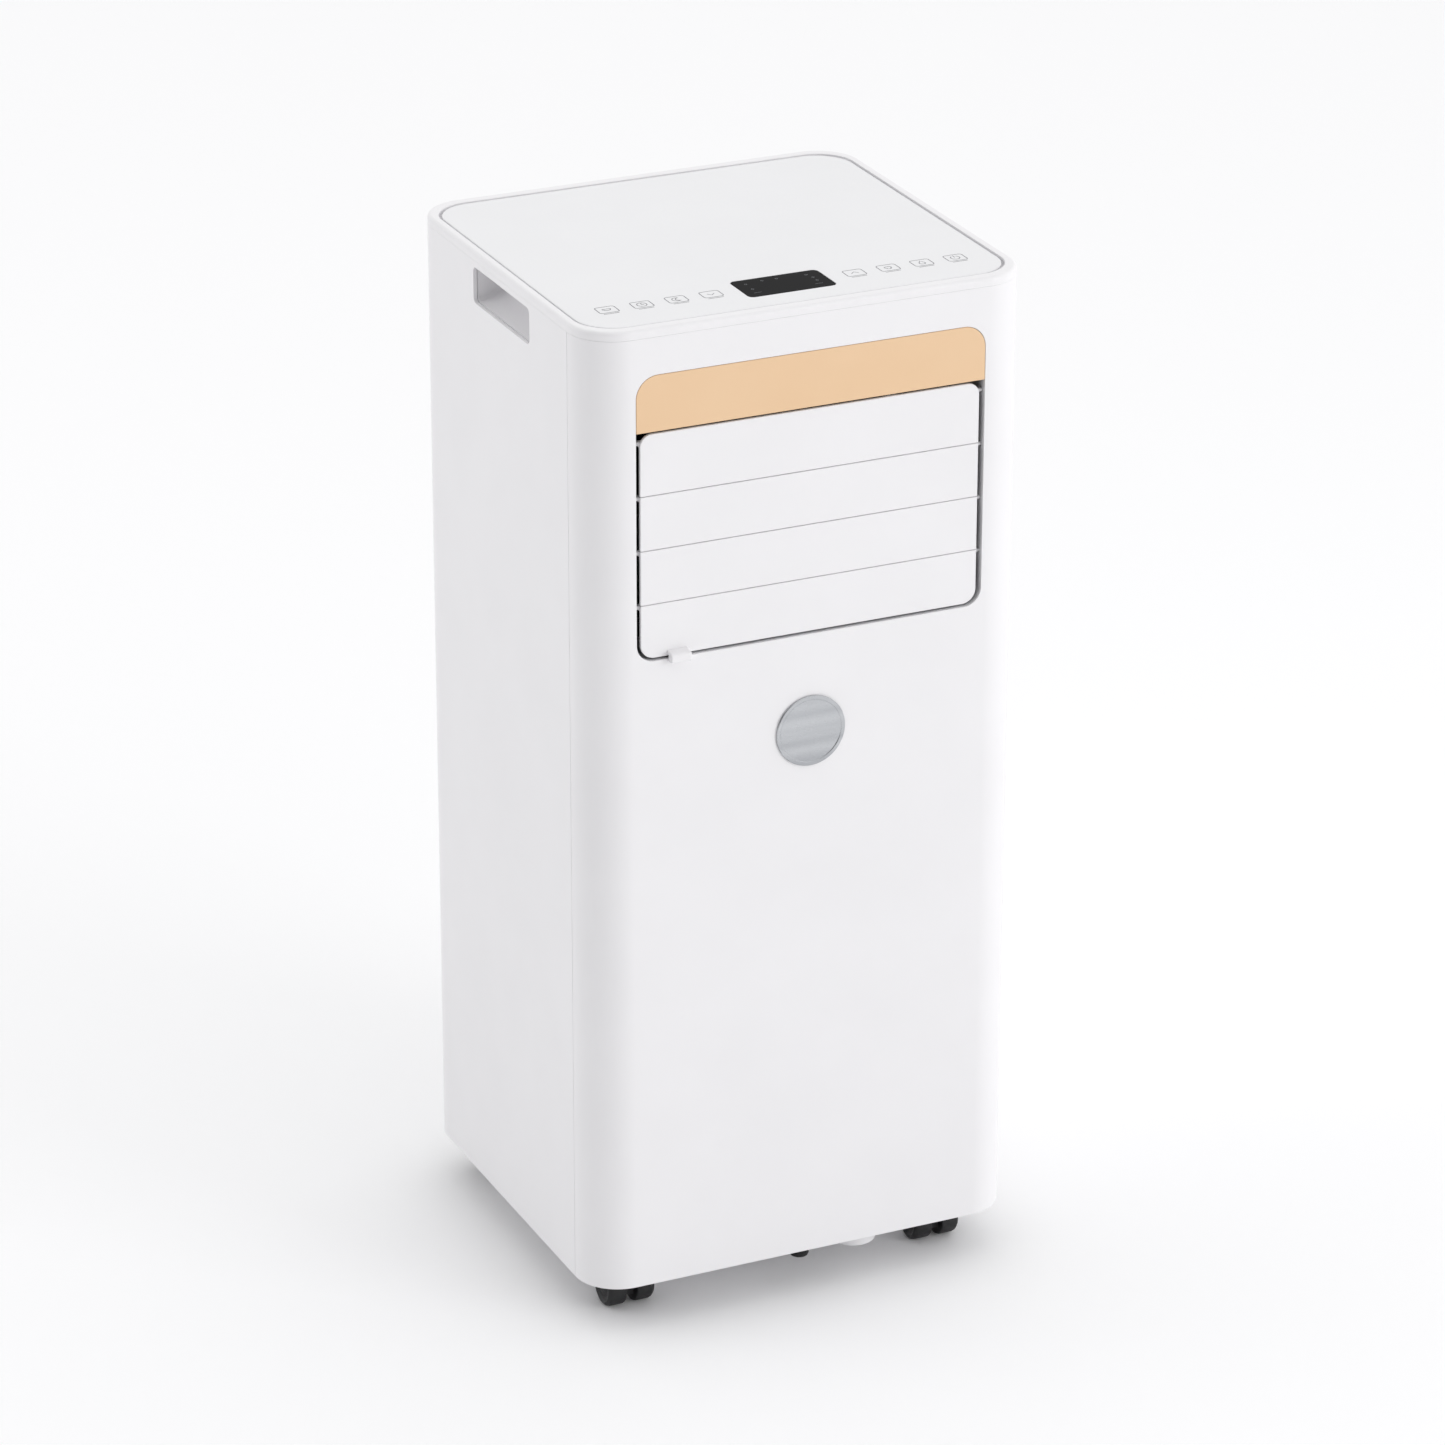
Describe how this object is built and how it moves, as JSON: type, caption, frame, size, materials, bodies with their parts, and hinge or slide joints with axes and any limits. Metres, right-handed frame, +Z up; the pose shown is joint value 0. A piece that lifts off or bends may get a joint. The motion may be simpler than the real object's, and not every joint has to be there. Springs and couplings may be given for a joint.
{
  "type": "portable air conditioner",
  "caption": "Upright portable air conditioner on swivel casters, with a hand-set front louvre, touch panel on top, side grips and a rear exhaust collar.",
  "frame": {"origin": "on the floor under the middle of the object's box", "axes": "+Z up, -Y towards the front, +X to the right seen from the front"},
  "size_m": [0.305, 0.294, 0.693],
  "materials": {
    "white_shell": "moulded, satin white",
    "white_panel": "moulded, smooth white",
    "grey_plastic": "moulded, matt grey",
    "tan_trim": "moulded, satin tan",
    "smoked_glass": "glossy black window",
    "black_plastic": "moulded, matt black",
    "black_rubber": "matt",
    "brushed_metal": "brushed",
    "painted_steel": "satin black paint",
    "galvanised_steel": "galvanised",
    "copper": "drawn copper tube",
    "coil_fins": "finned",
    "circuit_board": "lacquered board"
  },
  "bodies": {
    "root": {"front_casing": "white_shell", "rear_casing": "white_shell", "grip_pocket_left": "white_shell", "grip_pocket_right": "white_shell", "top_frame": "white_shell", "intake_grille": "white_shell", "exhaust_collar": "white_shell", "base_pan": "white_shell", "control_panel": "white_panel", "display_window": "smoked_glass", "display_board": "circuit_board", "main_board": "circuit_board", "louvre_frame": "grey_plastic", "exhaust_duct": "grey_plastic", "deck": "grey_plastic", "outlet_guard": "black_plastic", "upper_scroll": "black_plastic", "lower_scroll": "black_plastic", "terminal_cover": "black_plastic", "trim_strip": "tan_trim", "badge": "brushed_metal", "cord_gland": "black_rubber", "compressor_grommet_1": "black_rubber", "compressor_grommet_2": "black_rubber", "compressor_grommet_3": "black_rubber", "control_box": "galvanised_steel", "run_capacitor": "galvanised_steel", "upper_fan_motor": "galvanised_steel", "lower_fan_motor": "galvanised_steel", "casing_screw_1": "galvanised_steel", "casing_screw_2": "galvanised_steel", "casing_screw_3": "galvanised_steel", "casing_screw_4": "galvanised_steel", "compressor": "painted_steel", "accumulator": "painted_steel", "suction_pipe": "copper", "discharge_pipe": "copper", "liquid_line": "copper", "filter_drier": "copper", "condenser_coil": "coil_fins", "evaporator_coil": "coil_fins"},
    "slat_1": {"louvre_slat_1": "white_shell"},
    "slat_2": {"louvre_slat_2": "white_shell"},
    "slat_3": {"louvre_slat_3": "white_shell"},
    "slat_4": {"louvre_slat_4": "white_shell"},
    "link": {"louvre_link": "grey_plastic"},
    "upper_blower": {"upper_blower_wheel": "black_plastic"},
    "lower_blower": {"lower_blower_wheel": "black_plastic"},
    "caster_front_left": {"caster_fork_front_left": "black_plastic"},
    "wheels_front_left": {"caster_wheels_front_left": "black_plastic"},
    "caster_front_right": {"caster_fork_front_right": "black_plastic"},
    "wheels_front_right": {"caster_wheels_front_right": "black_plastic"},
    "caster_rear_left": {"caster_fork_rear_left": "black_plastic"},
    "wheels_rear_left": {"caster_wheels_rear_left": "black_plastic"},
    "caster_rear_right": {"caster_fork_rear_right": "black_plastic"},
    "wheels_rear_right": {"caster_wheels_rear_right": "black_plastic"},
    "filter": {"filter_grille": "white_shell", "filter_screen": "grey_plastic"},
    "rear_drain": {"drain_cap": "black_rubber"},
    "base_drain": {"drain_plug": "black_rubber"}
  },
  "joints": [
    {"name": "louvre_1", "type": "hinge", "parent": "root", "child": "slat_1", "pos_m": [0, -0.135, 0.6171], "axis": [-1, 0, 0], "range_deg": [0, 70]},
    {"name": "louvre_2", "type": "hinge", "parent": "root", "child": "slat_2", "pos_m": [0, -0.135, 0.5809], "axis": [-1, 0, 0], "range_deg": [0, 70]},
    {"name": "louvre_3", "type": "hinge", "parent": "root", "child": "slat_3", "pos_m": [0, -0.135, 0.5447], "axis": [-1, 0, 0], "range_deg": [0, 70]},
    {"name": "louvre_4", "type": "hinge", "parent": "root", "child": "slat_4", "pos_m": [0, -0.135, 0.5085], "axis": [-1, 0, 0], "range_deg": [0, 70]},
    {"name": "link_pivot", "type": "hinge", "parent": "slat_1", "child": "link", "pos_m": [0.0593, -0.13, 0.6291], "axis": [-1, 0, 0], "range_deg": [-70, 0]},
    {"name": "upper_blower_spin", "type": "hinge", "parent": "root", "child": "upper_blower", "pos_m": [0, 0, 0.489], "axis": [0, 1, 0], "continuous": true},
    {"name": "lower_blower_spin", "type": "hinge", "parent": "root", "child": "lower_blower", "pos_m": [0.062, 0, 0.18], "axis": [0, 1, 0], "continuous": true},
    {"name": "swivel_front_left", "type": "hinge", "parent": "root", "child": "caster_front_left", "pos_m": [-0.112, -0.105, 0.034], "axis": [0, 0, 1], "continuous": true},
    {"name": "roll_front_left", "type": "hinge", "parent": "caster_front_left", "child": "wheels_front_left", "pos_m": [-0.112, -0.097, 0.014], "axis": [1, 0, 0], "continuous": true},
    {"name": "swivel_front_right", "type": "hinge", "parent": "root", "child": "caster_front_right", "pos_m": [0.112, -0.105, 0.034], "axis": [0, 0, 1], "continuous": true},
    {"name": "roll_front_right", "type": "hinge", "parent": "caster_front_right", "child": "wheels_front_right", "pos_m": [0.112, -0.097, 0.014], "axis": [1, 0, 0], "continuous": true},
    {"name": "swivel_rear_left", "type": "hinge", "parent": "root", "child": "caster_rear_left", "pos_m": [-0.112, 0.105, 0.034], "axis": [0, 0, 1], "continuous": true},
    {"name": "roll_rear_left", "type": "hinge", "parent": "caster_rear_left", "child": "wheels_rear_left", "pos_m": [-0.112, 0.113, 0.014], "axis": [1, 0, 0], "continuous": true},
    {"name": "swivel_rear_right", "type": "hinge", "parent": "root", "child": "caster_rear_right", "pos_m": [0.112, 0.105, 0.034], "axis": [0, 0, 1], "continuous": true},
    {"name": "roll_rear_right", "type": "hinge", "parent": "caster_rear_right", "child": "wheels_rear_right", "pos_m": [0.112, 0.113, 0.014], "axis": [1, 0, 0], "continuous": true},
    {"name": "filter_pull", "type": "slide", "parent": "root", "child": "filter", "axis": [0, 1, 0], "range_m": [0, 0.04]},
    {"name": "drain_cap_pull", "type": "slide", "parent": "root", "child": "rear_drain", "axis": [0, 1, 0], "range_m": [0, 0.014]},
    {"name": "drain_plug_pull", "type": "slide", "parent": "root", "child": "base_drain", "axis": [0, 0, -1], "range_m": [0, 0.009]}
  ],
  "couplings": [
    {"joint": "louvre_2", "follows": "louvre_1", "ratio": 1},
    {"joint": "louvre_3", "follows": "louvre_1", "ratio": 1},
    {"joint": "louvre_4", "follows": "louvre_1", "ratio": 1},
    {"joint": "link_pivot", "follows": "louvre_1", "ratio": -1}
  ]
}
